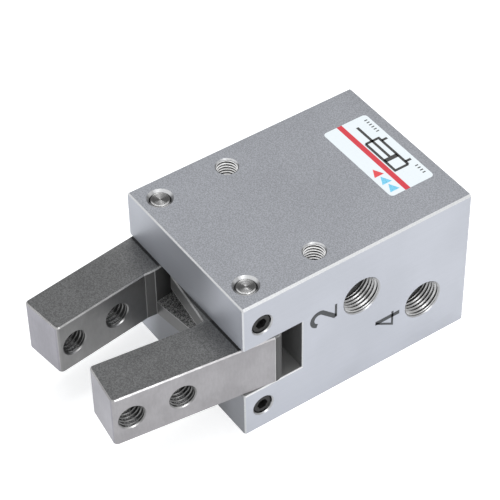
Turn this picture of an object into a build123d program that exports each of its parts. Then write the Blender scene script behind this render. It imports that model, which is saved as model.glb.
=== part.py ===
from build123d import *

import math
import os

os.makedirs("parts", exist_ok=True)

# Pneumatic angular gripper, lying on its lower wide face, fingers closed.
# X runs across the width with the air ports on +X, the fingers reach along -Y, +Z is up.
# The origin is midway between the two mounting threads in the lower wide face.
# All sizes are millimetres and degrees.

# Linkage
pivot_spacing = 33.5  # between the two lever shafts
pivot_setback = 5.0  # shaft axis behind the housing's front face
closed_angle = 7.2  # each finger leans in by this much when closed, the pose of the model
open_angle = 15.0  # each finger leans out by this much when open
shaft_diameter = 5.0
running_gap = 0.03  # radial, a turning or sliding metal fit
press_gap = 0.01  # radial, a shaft or pin held fast
roller_diameter = 8.0
roller_flank_gap = 0.07  # each side of a roller in its finger slot
roller_end_gap = 0.35  # beyond a roller at each end of its slot
centre_pin_diameter = 5.0

# Fingers
finger_width = 11.7
finger_thickness = 14.2
finger_reach = 35.1  # shaft axis to finger tip
finger_rear = 6.5  # shaft axis to the finger's back face
rear_corner_radius = 2.6
tip_corner_radius = 1.0
root_extra = 0.45  # the root stands this much proud of the ground inner face
root_front = 7.65  # shaft axis to the front edge of the root and tongue
root_ramp = 2.55  # length of the ramp from the ground face up to the root
tongue_thickness = 4.2
tongue_reach = 25.0  # shaft axis to the end of the tongue
tongue_corner_radius = 3.5
finger_thread = 6.0
finger_thread_inset = 4.4  # finger tip to the first thread
finger_thread_spacing = 12.1
finger_edge_break = 0.3

# Housing
finger_side_gap = 0.1  # above and below the fingers in the slot
slot_end_gap = 1.43  # tongue to slot end, fingers closed
shaft_edge = 6.0  # shaft axis to the housing's side face
bore_wall = 4.0  # between the cylinder bore and the wide faces
slot_edge_bevel = 0.25
side_bevel = 0.5
end_bevel = 0.3
mouth_bevel = 0.3
mount_setback = 23.0  # mounting threads behind the front face
mount_spacing = 33.5
mount_thread = 5.0
mount_thread_depth = 10.0
mount_through_hole = 4.3  # clears an M4 bolt, straight through between two mounting threads
shaft_end_recess = 0.4  # shaft ends below the wide faces
shaft_mouth_bevel = 0.6
shaft_screw_offset = 12.9  # set screws above and below mid height
shaft_screw_thread = 5.0
shaft_screw_length = 3.0
shaft_screw_mouth_bevel = 0.3
shaft_screw_key = 2.5
shaft_screw_key_depth = 1.5
thread_gap = 0.02  # radial, between a screw's and a hole's nominal cylinders
port_thread = 9.73
port_floor_wall = 1.0
port_stagger = 5.8  # ports above and below mid height
port_mouth_bevel = 0.25
front_port_inset = 5.3  # front port's axis behind the front chamber's floor
rear_port_inset = 5.2  # rear port's axis ahead of the end cap
passage_diameter = 2.5
passage_inset = 2.05  # air passages from the chamber ends
rear_thread = 5.0
rear_thread_depth = 12.0
rear_thread_wall = 1.85  # rear threads outside the retaining ring groove
rear_thread_angle = 40.5  # of the rear threads about the bore, from the X axis
switch_groove_diameter = 3.6
switch_groove_mouth = 2.6
switch_groove_centre = 2.4  # below the side face
switch_groove_offset = 6.5  # above and below mid height
switch_groove_length = 44.0

# Cylinder
bore_diameter = 32.0
rod_diameter = 12.0
rod_eye_side_gap = 0.2  # between the rod eye and each tongue
rod_flat_length = 8.6  # flats behind the centre pin's axis
rod_hole_gap = 0.2  # radial, in the housing ahead of the bush
gland_shoulder = 1.0
bush_length = 5.5
bush_wall = 1.5
seal_length = 3.2
seal_wall = 3.0
retainer_thickness = 1.2
retainer_wall = 4.0
seat_gap = 0.05  # axial, between stacked pieces
rim_gap = 0.05  # radial, around seals, rings and the end cap
front_bumper_thickness = 1.5
front_bumper_width = 4.4
stop_gap = 0.15  # left between the piston and each bumper
piston_nose_length = 2.5
piston_front_land = 1.5
piston_land = 1.2
piston_rear_land = 1.4
piston_gap = 0.2  # radial, piston to bore
wear_ring_width = 2.4
wear_ring_thickness = 1.7
magnet_width = 3.0
magnet_depth = 4.0
magnet_inset = 0.2  # magnet below the piston's rim
piston_seal_width = 2.8
piston_seal_depth = 2.9
seal_bevel = 0.4
spigot_diameter = 8.0
spigot_length = 7.0
gasket_width = 1.5
gasket_thickness = 1.1
piston_screw_thread = 6.0
piston_screw_head = 11.3
piston_screw_recess = 0.3
piston_screw_length = 18.0
piston_screw_key = 4.0
piston_screw_key_depth = 2.2
screw_hole_spare = 1.2  # tapped depth beyond a screw's end
rear_bumper_diameter = 16.4
rear_bumper_hole = 6.0
rear_bumper_height = 3.7
rear_bumper_seat = 1.0
cap_shoulder = 1.0
cap_thickness = 5.4
cap_groove_width = 2.4
cap_groove_depth = 1.7
cap_recess_diameter = 20.0
cap_recess_depth = 0.8
ring_thickness = 1.5
ring_groove_depth = 1.0
ring_width = 2.5
ring_recess = 0.45  # retaining ring inside the rear face
ring_gap_angle = 56.0
ring_lug_radius = 2.3
ring_lug_hole = 2.0

# Heights and the linkage at rest
pivot_x = pivot_spacing / 2
half_finger = finger_width / 2
half_thickness = finger_thickness / 2
bore_radius = bore_diameter / 2
body_height = bore_diameter + 2 * bore_wall
body_width = pivot_spacing + 2 * shaft_edge
mid_z = body_height / 2
closed = math.radians(closed_angle)
opened = math.radians(open_angle)
front_y = -mount_setback
pivot_y = front_y + pivot_setback
pin_y = pivot_y + pivot_x * math.tan(closed)
stroke = pivot_x * (math.tan(closed) + math.tan(opened))

# Along the body, front to rear
tongue_corner_v = tongue_reach - tongue_corner_radius
tongue_corner_u = finger_rear - tongue_corner_radius
tongue_sweep = tongue_corner_v * math.sin(closed) + tongue_corner_u * math.cos(closed)
slot_depth = pivot_setback + tongue_sweep + tongue_corner_radius + slot_end_gap
slot_height = finger_thickness + 2 * finger_side_gap
slot_end_y = front_y + slot_depth
bush_y = slot_end_y + gland_shoulder
rod_seal_y = bush_y + bush_length
retainer_y = rod_seal_y + seal_length
chamber_y = retainer_y + retainer_thickness
piston_y = chamber_y + front_bumper_thickness + stop_gap + stroke
wear_ring_y = piston_y + piston_nose_length + piston_front_land
magnet_y = wear_ring_y + wear_ring_width + piston_land
piston_seal_y = magnet_y + magnet_width + piston_land
piston_end_y = piston_seal_y + piston_seal_width + piston_rear_land
cap_y = piston_end_y + stop_gap + rear_bumper_height
cap_end_y = cap_y + cap_thickness
ring_y = cap_end_y + seat_gap
ring_end_y = ring_y + ring_thickness
rear_y = ring_end_y + ring_recess
body_length = rear_y - front_y

# Radii about the bore's axis
rod_radius = rod_diameter / 2
bush_radius = rod_radius + bush_wall
gland_seal_radius = rod_radius + seal_wall
retainer_radius = rod_radius + retainer_wall
bumper_hole_radius = rod_radius + rod_hole_gap + seal_bevel
front_bumper_radius = bumper_hole_radius + front_bumper_width
piston_radius = bore_radius - piston_gap
cap_radius = bore_radius + cap_shoulder
ring_radius = cap_radius + ring_groove_depth
rear_thread_circle = ring_radius + rear_thread_wall + rear_thread / 2

# The bore's axis, and a half plane through it for turned profiles: along Y, then out from the axis
bore_axis = Axis((0, 0, mid_z), (0, 1, 0))
turning_plane = Plane(origin=(0, 0, mid_z), x_dir=(0, 1, 0), z_dir=(1, 0, 0))


def turned_band(front, rear, inner, outer):
    """A rectangle of a turned profile, from front to rear and from inner to outer radius."""
    with Locations((front, inner)):
        Rectangle(rear - front, outer - inner, align=(Align.MIN, Align.MIN))


def cross_plane(y):
    """A plane across the bore's axis, facing the rear."""
    return Plane(origin=(0, y, mid_z), x_dir=(-1, 0, 0), z_dir=(0, 1, 0))


def side_plane(side):
    """The housing's side face, +1 for the port side and -1 for the other, facing outwards."""
    return Plane(origin=(side * body_width / 2, 0, mid_z), x_dir=(0, side, 0), z_dir=(side, 0, 0))


# Housing: one block with the finger slot across its front and the stepped cylinder bore from its rear
port_depth = body_width / 2 - bore_radius - port_floor_wall
port_places = (
    (chamber_y + front_port_inset, port_stagger, chamber_y + passage_inset),
    (cap_y - rear_port_inset, -port_stagger, cap_y - passage_inset),
)
screw_hole_depth = shaft_edge - shaft_diameter / 2

with BuildPart() as housing:
    with BuildSketch(Plane.XY):
        with Locations((0, front_y + body_length / 2)):
            Rectangle(body_width, body_length)
    extrude(amount=body_height)
    chamfer(housing.edges().filter_by(Axis.Y), side_bevel)
    chamfer(housing.faces().sort_by(Axis.Y)[0].edges(), end_bevel)
    chamfer(housing.faces().sort_by(Axis.Y)[-1].edges(), end_bevel)

    # Finger slot, right across the front
    with BuildSketch(turning_plane):
        with Locations((front_y, 0)):
            Rectangle(slot_depth, slot_height, align=(Align.MIN, Align.CENTER))
    extrude(amount=body_width, both=True, mode=Mode.SUBTRACT)

    # Broken edges round the mouth of the slot
    for ear_z in (mid_z - slot_height / 2, mid_z + slot_height / 2):
        ear_edges = housing.edges().filter_by_position(Axis.Z, ear_z - 0.01, ear_z + 0.01)
        chamfer(ear_edges.filter_by_position(Axis.Y, front_y - 1, slot_end_y - 0.5), slot_edge_bevel)
    slot_end_edges = housing.edges().filter_by(Axis.Z)
    chamfer(slot_end_edges.filter_by_position(Axis.Y, slot_end_y - 0.01, slot_end_y + 0.01), slot_edge_bevel)

    # Rod hole, gland, cylinder bore, cap seat and retaining ring groove
    with BuildSketch(turning_plane):
        turned_band(slot_end_y - gland_shoulder, chamber_y, 0, rod_radius + rod_hole_gap)
        turned_band(bush_y, chamber_y, 0, bush_radius)
        turned_band(rod_seal_y, chamber_y, 0, gland_seal_radius)
        turned_band(retainer_y, chamber_y, 0, retainer_radius)
        turned_band(chamber_y, rear_y, 0, bore_radius)
        turned_band(cap_y, rear_y, 0, cap_radius)
        turned_band(ring_y - seat_gap, ring_end_y + seat_gap, 0, ring_radius)
    revolve(axis=bore_axis, mode=Mode.SUBTRACT)

    # Lever shaft holes through both ears
    for face_z, facing in ((body_height, 1), (0, -1)):
        with Locations(Plane(origin=(0, pivot_y, face_z), x_dir=(1, 0, 0), z_dir=(0, 0, facing))):
            with GridLocations(pivot_spacing, 0, 2, 1):
                CounterSinkHole(
                    radius=shaft_diameter / 2 + press_gap,
                    counter_sink_radius=shaft_diameter / 2 + shaft_mouth_bevel,
                    depth=mid_z,
                    counter_sink_angle=90,
                )

    # Mounting threads in both wide faces, joined by a narrower through hole
    for face_z, facing in ((body_height, 1), (0, -1)):
        with Locations(Plane(origin=(0, 0, face_z), x_dir=(1, 0, 0), z_dir=(0, 0, facing))):
            with GridLocations(mount_spacing, 0, 2, 1):
                CounterSinkHole(
                    radius=mount_thread / 2,
                    counter_sink_radius=mount_thread / 2 + mouth_bevel,
                    depth=mount_thread_depth,
                    counter_sink_angle=90,
                )
                Hole(radius=mount_through_hole / 2, depth=mid_z)

    # Mounting threads in the rear face, outside the retaining ring
    rear_x = rear_thread_circle * math.cos(math.radians(rear_thread_angle))
    rear_z = rear_thread_circle * math.sin(math.radians(rear_thread_angle))
    with Locations(cross_plane(rear_y)):
        with GridLocations(2 * rear_x, 2 * rear_z, 2, 2):
            CounterSinkHole(
                radius=rear_thread / 2,
                counter_sink_radius=rear_thread / 2 + mouth_bevel,
                depth=rear_thread_depth,
                counter_sink_angle=90,
            )

    # Set screw holes, from both sides in to the lever shafts
    for side in (1, -1):
        with Locations(side_plane(side)):
            with Locations(
                (side * pivot_y, shaft_screw_offset),
                (side * pivot_y, -shaft_screw_offset),
            ):
                CounterSinkHole(
                    radius=shaft_screw_thread / 2,
                    counter_sink_radius=shaft_screw_thread / 2 + shaft_screw_mouth_bevel,
                    depth=screw_hole_depth,
                    counter_sink_angle=90,
                )

    # Air ports, each with a small passage into its end of the cylinder
    for port_y, port_height, passage_y in port_places:
        with Locations(side_plane(1)):
            with Locations((port_y, port_height)):
                CounterSinkHole(
                    radius=port_thread / 2,
                    counter_sink_radius=port_thread / 2 + port_mouth_bevel,
                    depth=port_depth,
                    counter_sink_angle=90,
                )
            with Locations((passage_y, port_height)):
                Hole(radius=passage_diameter / 2, depth=body_width / 2 - bore_radius / 2)

    # Two round switch grooves along the side away from the ports, open at the rear
    groove_x = -body_width / 2 + switch_groove_centre
    groove_end_y = rear_y - switch_groove_length
    with BuildSketch(cross_plane(rear_y)):
        for height in (switch_groove_offset, -switch_groove_offset):
            with Locations((-groove_x, height)):
                Circle(switch_groove_diameter / 2)
                Rectangle(switch_groove_centre, switch_groove_mouth, align=(Align.MIN, Align.CENTER))
    extrude(amount=-switch_groove_length, mode=Mode.SUBTRACT)

housing.part.label = "housing"
export_step(housing.part, "parts/housing.step")


# Fingers: two identical levers, one turned over. Each is drawn from its shaft axis, with local X
# towards the other finger, local Y towards the tip and local Z up.
inward = Vector(-math.cos(closed), math.sin(closed), 0)
tipward = Vector(-math.sin(closed), -math.cos(closed), 0)
finger_pivot = Vector(pivot_x, pivot_y, mid_z)
finger_plane = Plane(origin=finger_pivot, x_dir=inward, z_dir=(0, 0, 1))
finger_root = half_finger + root_extra
tongue_underside = half_thickness - tongue_thickness
slot_near = pivot_x - roller_diameter / 2 - roller_end_gap
slot_far = pivot_x / math.cos(opened) + roller_diameter / 2 + roller_end_gap
slot_width = roller_diameter + 2 * roller_flank_gap

with BuildPart() as right_finger:
    # The bar, with its wider root and rounded back corner
    with BuildSketch(finger_plane.offset(-half_thickness)):
        with BuildLine():
            Polyline(
                (-half_finger, finger_reach),
                (half_finger, finger_reach),
                (half_finger, root_front + root_ramp),
                (finger_root, root_front),
                (finger_root, -finger_rear),
                (-half_finger, -finger_rear),
                close=True,
            )
        make_face()
        fillet(vertices().sort_by(Axis.Y)[-2:], tip_corner_radius)
        fillet(vertices().sort_by_distance((-half_finger, -finger_rear))[0], rear_corner_radius)
    extrude(amount=finger_thickness)

    # The tongue, which reaches across to the centre pin in the top layer
    with BuildSketch(finger_plane.offset(tongue_underside)):
        with Locations((0, -finger_rear)):
            Rectangle(tongue_reach, finger_rear + root_front, align=(Align.MIN, Align.MIN))
        fillet(vertices().sort_by(Axis.X)[-2:], tongue_corner_radius)
    extrude(amount=tongue_thickness)

    # Broken edges round the top and bottom faces
    chamfer(right_finger.faces().sort_by(Axis.Z)[-1].edges(), finger_edge_break)
    chamfer(right_finger.faces().sort_by(Axis.Z)[0].edges(), finger_edge_break)

    # Bore for the lever shaft, and the slot that the roller runs in
    with BuildSketch(finger_plane.offset(-half_thickness)):
        Circle(shaft_diameter / 2 + running_gap)
        with Locations(((slot_near + slot_far) / 2, 0)):
            SlotOverall(slot_far - slot_near, slot_width)
    extrude(amount=finger_thickness, mode=Mode.SUBTRACT)

    # Threads for the gripping jaws, through the width
    for face in (1, -1):
        with Locations(
            Plane(origin=finger_pivot + inward * face * half_finger, x_dir=tipward, z_dir=inward * face)
        ):
            with Locations(
                (finger_reach - finger_thread_inset, 0),
                (finger_reach - finger_thread_inset - finger_thread_spacing, 0),
            ):
                CounterSinkHole(
                    radius=finger_thread / 2,
                    counter_sink_radius=finger_thread / 2 + mouth_bevel,
                    depth=half_finger,
                    counter_sink_angle=90,
                )

right_finger.part.label = "right_finger"
export_step(right_finger.part, "parts/right_finger.step")

with BuildPart() as left_finger:
    add(right_finger.part.rotate(bore_axis, 180))

left_finger.part.label = "left_finger"
export_step(left_finger.part, "parts/left_finger.step")


# Lever shafts: plain dowels that the fingers turn on, held in the ears by set screws
for side, name in ((1, "right_lever_shaft"), (-1, "left_lever_shaft")):
    with BuildPart() as lever_shaft:
        with BuildSketch(Plane.XY.offset(shaft_end_recess)):
            with Locations((side * pivot_x, pivot_y)):
                Circle(shaft_diameter / 2)
        extrude(amount=body_height - 2 * shaft_end_recess)
        chamfer(lever_shaft.edges().filter_by(GeomType.CIRCLE), mouth_bevel)
    lever_shaft.part.label = name
    export_step(lever_shaft.part, f"parts/{name}.step")

with BuildPart() as shaft_set_screws:
    screw_radius = shaft_screw_thread / 2 - thread_gap
    screw_inner = pivot_x + shaft_diameter / 2 + seat_gap
    for side in (1, -1):
        inner_plane = Plane(
            origin=(side * screw_inner, pivot_y, mid_z), x_dir=(0, side, 0), z_dir=(side, 0, 0)
        )
        with BuildSketch(inner_plane):
            with Locations((0, shaft_screw_offset), (0, -shaft_screw_offset)):
                Circle(screw_radius)
        extrude(amount=shaft_screw_length)
    chamfer(shaft_set_screws.edges().filter_by(GeomType.CIRCLE), mouth_bevel)
    for side in (1, -1):
        outer_plane = Plane(
            origin=(side * (screw_inner + shaft_screw_length), pivot_y, mid_z),
            x_dir=(0, side, 0),
            z_dir=(side, 0, 0),
        )
        with BuildSketch(outer_plane):
            with Locations((0, shaft_screw_offset), (0, -shaft_screw_offset)):
                RegularPolygon(shaft_screw_key / 2, 6, major_radius=False)
        extrude(amount=-shaft_screw_key_depth, mode=Mode.SUBTRACT)

shaft_set_screws.part.label = "shaft_set_screws"
export_step(shaft_set_screws.part, "parts/shaft_set_screws.step")


# Piston rod: a turned bar with a flat eye for the centre pin at its front and a spigot at its rear
eye_thickness = finger_thickness - 2 * (tongue_thickness + rod_eye_side_gap)
eye_front_y = pin_y - rod_radius
spigot_end_y = piston_y + spigot_length
screw_seat_y = piston_end_y - piston_screw_recess
screw_tip_y = screw_seat_y - piston_screw_length
pin_plane = Plane(origin=(0, pin_y, mid_z), x_dir=(1, 0, 0), z_dir=(0, 0, 1))

with BuildPart() as piston_rod:
    with BuildSketch(turning_plane):
        turned_band(eye_front_y, piston_y, 0, rod_radius)
        turned_band(piston_y, spigot_end_y, 0, spigot_diameter / 2)
    revolve(axis=bore_axis)
    chamfer(piston_rod.faces().sort_by(Axis.Y)[-1].edges(), mouth_bevel)
    with BuildSketch(pin_plane):
        Circle(rod_radius)
        Rectangle(rod_diameter, spigot_end_y - pin_y, align=(Align.CENTER, Align.MIN))
    extrude(amount=rod_radius, both=True, mode=Mode.INTERSECT)
    with BuildSketch(turning_plane):
        for side in (1, -1):
            with Locations((eye_front_y, side * (eye_thickness + rod_diameter) / 2)):
                Rectangle(
                    rod_radius + rod_flat_length,
                    rod_diameter,
                    align=(Align.MIN, Align.CENTER),
                )
    extrude(amount=rod_diameter, both=True, mode=Mode.SUBTRACT)
    with Locations(pin_plane):
        Hole(radius=centre_pin_diameter / 2 + press_gap)
    with Locations(cross_plane(spigot_end_y)):
        Hole(
            radius=piston_screw_thread / 2,
            depth=spigot_end_y - screw_tip_y + screw_hole_spare,
        )

piston_rod.part.label = "piston_rod"
export_step(piston_rod.part, "parts/piston_rod.step")

with BuildPart() as centre_pin:
    with BuildSketch(pin_plane.offset(-half_thickness)):
        Circle(centre_pin_diameter / 2)
    extrude(amount=finger_thickness)
    chamfer(centre_pin.edges().filter_by(GeomType.CIRCLE), mouth_bevel)

centre_pin.part.label = "centre_pin"
export_step(centre_pin.part, "parts/centre_pin.step")

# Rollers: hardened sleeves that turn on the centre pin, one in each finger's slot
roller_length = tongue_thickness - rod_eye_side_gap
for direction, name in ((1, "upper_roller"), (-1, "lower_roller")):
    roller_z = direction * (half_thickness - roller_length / 2)
    with BuildPart() as roller:
        with BuildSketch(pin_plane.offset(roller_z - roller_length / 2)):
            Circle(roller_diameter / 2)
            Circle(centre_pin_diameter / 2 + running_gap, mode=Mode.SUBTRACT)
        extrude(amount=roller_length)
        chamfer(roller.edges().filter_by(GeomType.CIRCLE), mouth_bevel / 2)
    roller.part.label = name
    export_step(roller.part, f"parts/{name}.step")


# Piston: nose that meets the front bumper, and a head with three grooves
with BuildPart() as piston:
    with BuildSketch(turning_plane):
        turned_band(piston_y, piston_end_y, 0, front_bumper_radius)
        turned_band(piston_y + piston_nose_length, piston_end_y, 0, piston_radius)
    revolve(axis=bore_axis)
    chamfer(piston.edges().filter_by(GeomType.CIRCLE), mouth_bevel)
    with BuildSketch(turning_plane):
        turned_band(
            wear_ring_y, wear_ring_y + wear_ring_width, bore_radius - wear_ring_thickness, bore_radius
        )
        turned_band(magnet_y, magnet_y + magnet_width, piston_radius - magnet_depth, bore_radius)
        turned_band(
            piston_seal_y,
            piston_seal_y + piston_seal_width,
            bore_radius - piston_seal_depth,
            bore_radius,
        )
        turned_band(piston_y - seat_gap, spigot_end_y + seat_gap, 0, spigot_diameter / 2 + press_gap)
        turned_band(
            piston_y - seat_gap, piston_y + gasket_thickness, 0, spigot_diameter / 2 + gasket_width
        )
    revolve(axis=bore_axis, mode=Mode.SUBTRACT)
    with Locations(cross_plane(screw_seat_y)):
        CounterSinkHole(
            radius=piston_screw_thread / 2 + press_gap,
            counter_sink_radius=piston_screw_head / 2 + press_gap,
            counter_sink_angle=90,
        )

piston.part.label = "piston"
export_step(piston.part, "parts/piston.step")

with BuildPart() as piston_screw:
    head_height = (piston_screw_head - piston_screw_thread) / 2
    with BuildSketch(turning_plane):
        with BuildLine():
            Polyline(
                (screw_tip_y, 0),
                (screw_tip_y, piston_screw_thread / 2 - thread_gap),
                (screw_seat_y - head_height - thread_gap, piston_screw_thread / 2 - thread_gap),
                (screw_seat_y, piston_screw_head / 2),
                (screw_seat_y, 0),
                close=True,
            )
        make_face()
    revolve(axis=bore_axis)
    with BuildSketch(cross_plane(screw_seat_y)):
        RegularPolygon(piston_screw_key / 2, 6, major_radius=False)
    extrude(amount=-piston_screw_key_depth, mode=Mode.SUBTRACT)

piston_screw.part.label = "piston_screw"
export_step(piston_screw.part, "parts/piston_screw.step")


# Turned rings: wear ring, magnet, seals, bush, retainer and bumpers, each a plain band with broken edges
seal_radius = bore_radius - rim_gap
turned_rings = {
    "wear_ring": (
        wear_ring_y + seat_gap,
        wear_ring_y + wear_ring_width - seat_gap,
        bore_radius - wear_ring_thickness + rim_gap,
        seal_radius,
        0,
    ),
    "piston_magnet": (
        magnet_y + seat_gap,
        magnet_y + magnet_width - seat_gap,
        piston_radius - magnet_depth + rim_gap,
        piston_radius - magnet_inset,
        0,
    ),
    "piston_seal": (
        piston_seal_y + seat_gap,
        piston_seal_y + piston_seal_width - seat_gap,
        bore_radius - piston_seal_depth + rim_gap,
        seal_radius,
        seal_bevel,
    ),
    "rod_gasket": (
        piston_y + seat_gap,
        piston_y + gasket_thickness - seat_gap,
        spigot_diameter / 2 + rim_gap,
        spigot_diameter / 2 + gasket_width - rim_gap,
        0,
    ),
    "rod_bush": (
        bush_y + seat_gap,
        rod_seal_y - seat_gap,
        rod_radius + running_gap,
        bush_radius - press_gap,
        mouth_bevel,
    ),
    "rod_seal": (
        rod_seal_y + seat_gap,
        retainer_y - seat_gap,
        rod_radius + rim_gap,
        gland_seal_radius - rim_gap,
        seal_bevel,
    ),
    "seal_retainer": (
        retainer_y + seat_gap,
        chamber_y,
        rod_radius + rod_hole_gap,
        retainer_radius - press_gap,
        0,
    ),
    "front_bumper": (
        chamber_y,
        chamber_y + front_bumper_thickness,
        bumper_hole_radius,
        front_bumper_radius,
        mouth_bevel,
    ),
    "rear_bumper": (
        cap_y - rear_bumper_height,
        cap_y + rear_bumper_seat - seat_gap,
        rear_bumper_hole / 2,
        rear_bumper_diameter / 2 - rim_gap,
        mouth_bevel,
    ),
    "cap_seal": (
        cap_y + (cap_thickness - cap_groove_width) / 2 + seat_gap,
        cap_y + (cap_thickness + cap_groove_width) / 2 - seat_gap,
        cap_radius - cap_groove_depth + rim_gap,
        cap_radius - press_gap,
        seal_bevel,
    ),
}
for name, (ring_front, ring_rear, inner, outer, bevel) in turned_rings.items():
    with BuildPart() as turned_ring:
        with BuildSketch(turning_plane):
            turned_band(ring_front, ring_rear, inner, outer)
            if bevel:
                chamfer(vertices(), bevel)
        revolve(axis=bore_axis)
    turned_ring.part.label = name
    export_step(turned_ring.part, f"parts/{name}.step")


# End cap: a disc seated on a shoulder in the bore, with a groove for its seal
with BuildPart() as end_cap:
    with BuildSketch(turning_plane):
        turned_band(cap_y, cap_end_y, 0, cap_radius - rim_gap)
    revolve(axis=bore_axis)
    chamfer(end_cap.edges().filter_by(GeomType.CIRCLE), mouth_bevel)
    with BuildSketch(turning_plane):
        groove_front = cap_y + (cap_thickness - cap_groove_width) / 2
        turned_band(
            groove_front, groove_front + cap_groove_width, cap_radius - cap_groove_depth, cap_radius
        )
        turned_band(cap_y, cap_y + rear_bumper_seat, 0, rear_bumper_diameter / 2)
        turned_band(cap_end_y - cap_recess_depth, cap_end_y, 0, cap_recess_diameter / 2)
    revolve(axis=bore_axis, mode=Mode.SUBTRACT)

end_cap.part.label = "end_cap"
export_step(end_cap.part, "parts/end_cap.step")


# Retaining ring: an open ring sprung into the rear groove, with two lugs for pliers
ring_outer = ring_radius - rim_gap
ring_inner = ring_outer - ring_width
lug_circle = ring_inner + ring_width / 2 - ring_lug_radius / 2
lug_angle = ring_gap_angle / 2 + math.degrees(ring_lug_radius / lug_circle)

with BuildPart() as retaining_ring:
    with BuildSketch(cross_plane(ring_y)):
        Circle(ring_outer)
        Circle(ring_inner, mode=Mode.SUBTRACT)
        with BuildLine():
            gap_arm = 2 * ring_outer
            half_gap = math.radians(ring_gap_angle / 2)
            Polyline(
                (0, 0),
                (gap_arm * math.sin(half_gap), -gap_arm * math.cos(half_gap)),
                (-gap_arm * math.sin(half_gap), -gap_arm * math.cos(half_gap)),
                close=True,
            )
        make_face(mode=Mode.SUBTRACT)
        with PolarLocations(lug_circle, 2, start_angle=-90 - lug_angle, angular_range=4 * lug_angle):
            Circle(ring_lug_radius)
            Circle(ring_lug_hole / 2, mode=Mode.SUBTRACT)
    extrude(amount=ring_thickness)

retaining_ring.part.label = "retaining_ring"
export_step(retaining_ring.part, "parts/retaining_ring.step")

print(
    f"body {body_width:.2f} x {body_length:.2f} x {body_height:.2f} mm, slot {slot_depth:.2f},"
    f" stroke {stroke:.3f}, rear {rear_y:.3f}, pin {pin_y:.3f}, chamber {chamber_y:.3f}"
)
print(f"rear threads {2 * rear_x:.2f} x {2 * rear_z:.2f}, ports {port_places}, depth {port_depth:.2f}")
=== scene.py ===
import logging
import math
from dataclasses import dataclass
from enum import Enum
from typing import Self

import bmesh
import bpy
from mathutils import Matrix, Vector


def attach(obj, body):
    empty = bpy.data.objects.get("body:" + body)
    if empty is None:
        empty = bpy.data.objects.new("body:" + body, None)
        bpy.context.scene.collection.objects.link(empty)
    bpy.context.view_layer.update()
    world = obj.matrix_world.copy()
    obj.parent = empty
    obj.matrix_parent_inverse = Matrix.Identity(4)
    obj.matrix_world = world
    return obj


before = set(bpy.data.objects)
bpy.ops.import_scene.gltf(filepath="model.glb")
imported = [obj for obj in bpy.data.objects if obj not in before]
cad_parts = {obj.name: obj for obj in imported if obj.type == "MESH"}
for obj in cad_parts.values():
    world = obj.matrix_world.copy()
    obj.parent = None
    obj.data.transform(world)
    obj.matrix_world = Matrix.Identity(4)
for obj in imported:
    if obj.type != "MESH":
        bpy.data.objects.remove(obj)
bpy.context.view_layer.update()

log = logging.getLogger("angular_gripper")

MM = 0.001

Colour = tuple[float, float, float]
Point2 = tuple[float, float]
Point3 = tuple[float, float, float]
Socket = bpy.types.NodeSocket
NodeTree = bpy.types.NodeTree
Material = bpy.types.Material
Mesh = bpy.types.Mesh

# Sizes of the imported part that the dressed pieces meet, in millimetres
HOUSING_HALF_WIDTH = 22.75
HOUSING_FRONT = -23.0
HOUSING_REAR = 39.005
HOUSING_HEIGHT = 40.0
MID_HEIGHT = 20.0
SLOT_END = -7.4
SLOT_HALF_HEIGHT = 7.2
PORT_RISE = 11.2  # the ports stay within this height off the middle
SIDE_BEVEL = 0.5
EDGE_BREAK = 0.3  # the widest along the front, rear and slot edges
MOUTH_BEVEL = 0.6  # the deepest countersink
FINGER_HALF_WIDTH = 5.85
TONGUE_UNDERSIDE = 2.9  # off mid height
JAW_THREAD_REACHES = (30.7, 18.6)  # from the lever shaft
PIVOT_X = 16.75
PIVOT_Y = -18.0
CLOSED_ANGLE = math.radians(7.2)
PIN_Y = PIVOT_Y + PIVOT_X * math.tan(CLOSED_ANGLE)

# The way from the part to where the photograph was taken, level and rising
VIEWER_LEVEL = (0.82, -0.57, 0.0)
VIEWER_RISING = (0.593, -0.398, 0.7)

SOFT_EDGE = 0.1  # how wide a mask fades, in millimetres


def grey(value: float, warmth: float = 0.0) -> Colour:
    """A near neutral colour, warmer above zero and bluer below."""
    return (value * (1 + warmth), value, value * (1 - warmth))


# Node trees


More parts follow.
